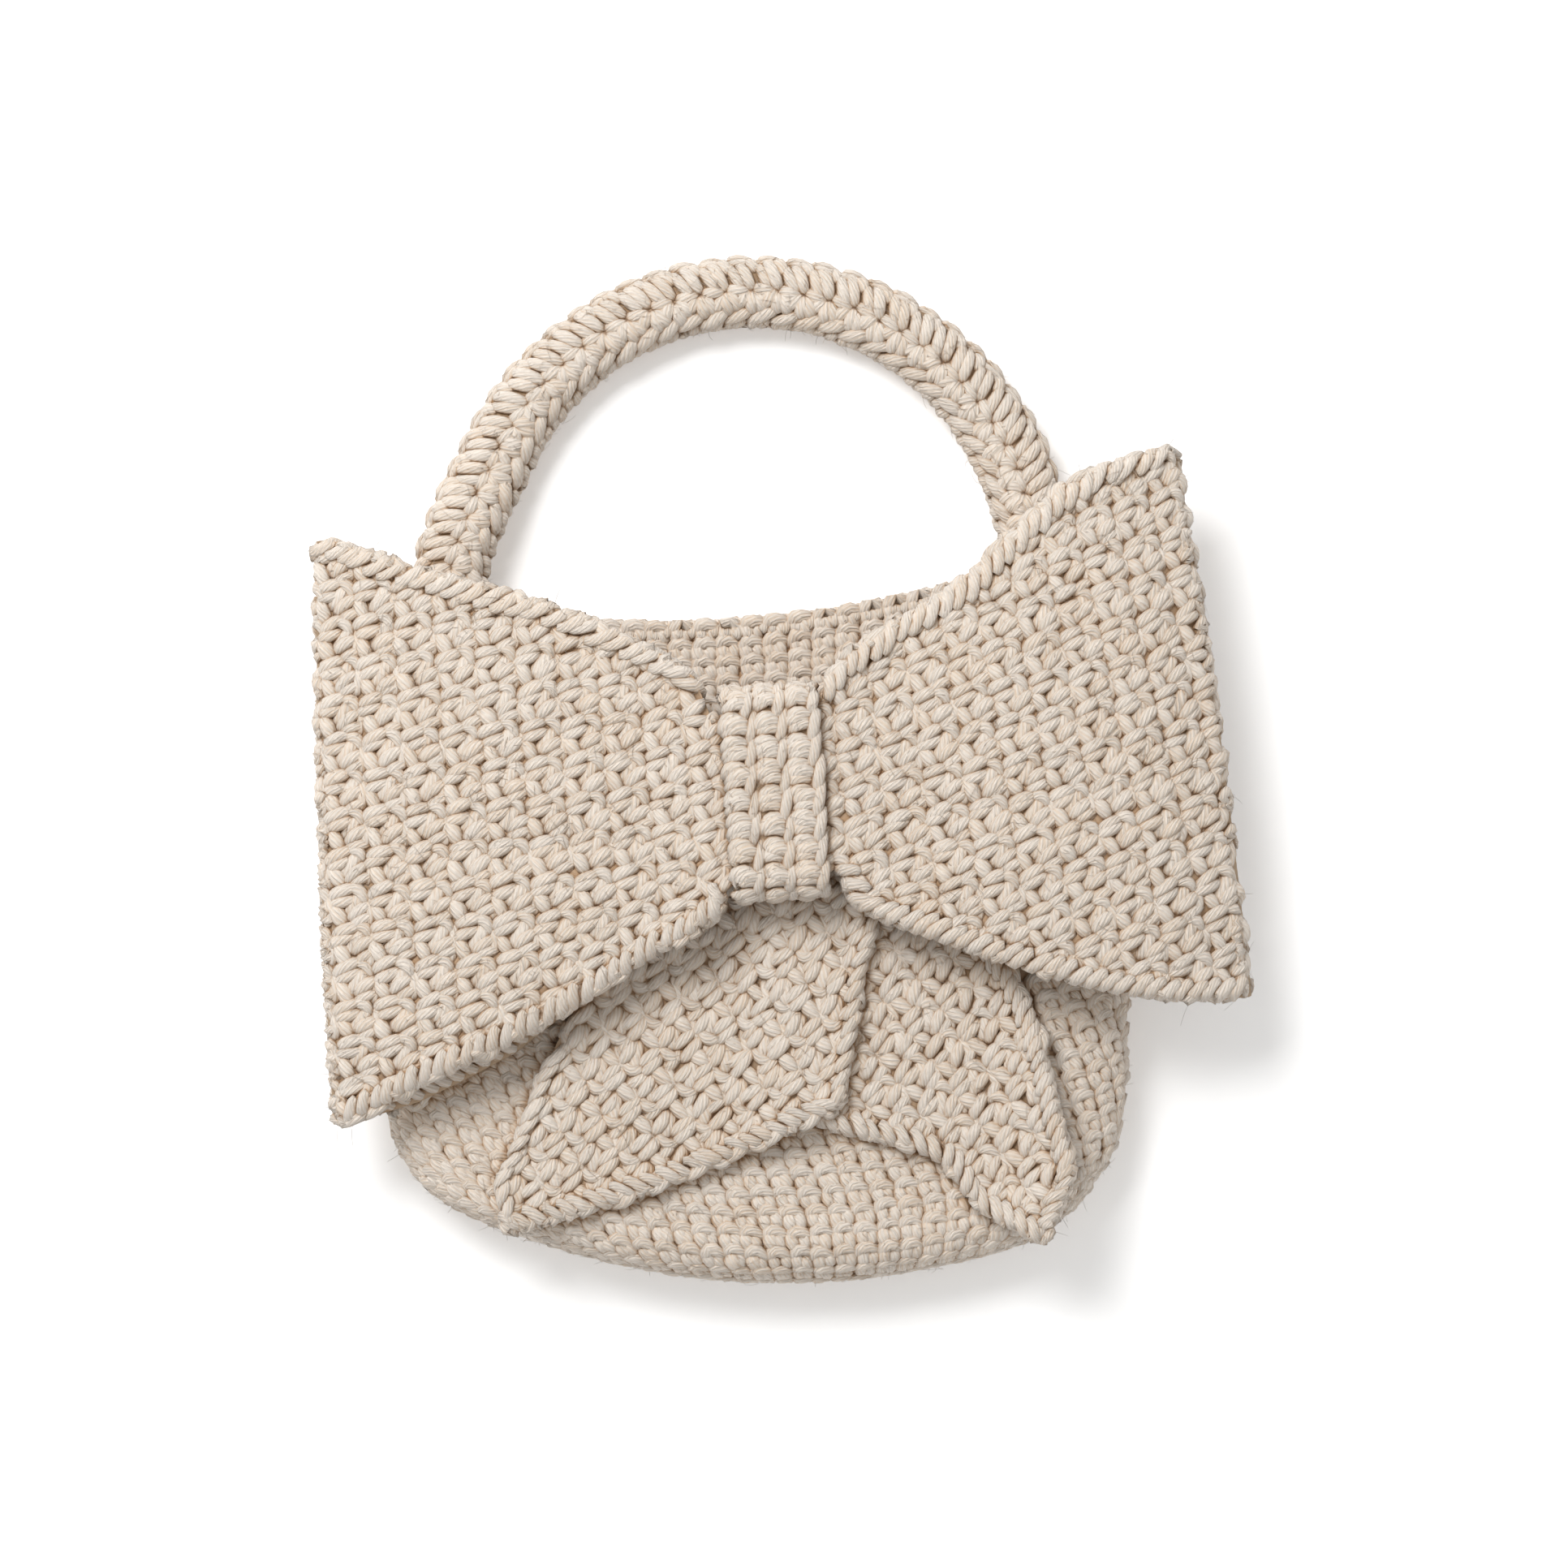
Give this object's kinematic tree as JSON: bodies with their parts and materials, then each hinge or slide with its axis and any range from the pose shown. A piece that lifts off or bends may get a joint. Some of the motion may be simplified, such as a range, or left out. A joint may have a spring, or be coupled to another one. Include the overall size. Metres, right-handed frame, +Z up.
{
  "type": "crochet bag",
  "caption": "Crocheted handbag lying on its back: hollow pouch open at the top, padded arch handle, and a large bow with a centre band and tails.",
  "frame": {"origin": "on the plane that the bag lies on, under the middle of the whole bag", "axes": "+Z up from that plane, towards the bow on the bag's front; +Y from the pouch's closed end towards the handle; +X to the right as seen from the front"},
  "size_m": [0.2581, 0.2825, 0.0508],
  "materials": {
    "bag_body": "matte beige crocheted yarn",
    "handle": "matte beige crocheted yarn, padded",
    "bow_loop": "matte beige crocheted yarn",
    "bow_band": "matte beige crocheted yarn",
    "tail_left": "matte beige crocheted yarn",
    "tail_right": "matte beige crocheted yarn"
  },
  "bodies": {
    "root": {"bag_body": "bag_body", "handle": "handle", "bow_loop": "bow_loop", "bow_band": "bow_band", "tail_left": "tail_left", "tail_right": "tail_right"}
  },
  "joints": []
}
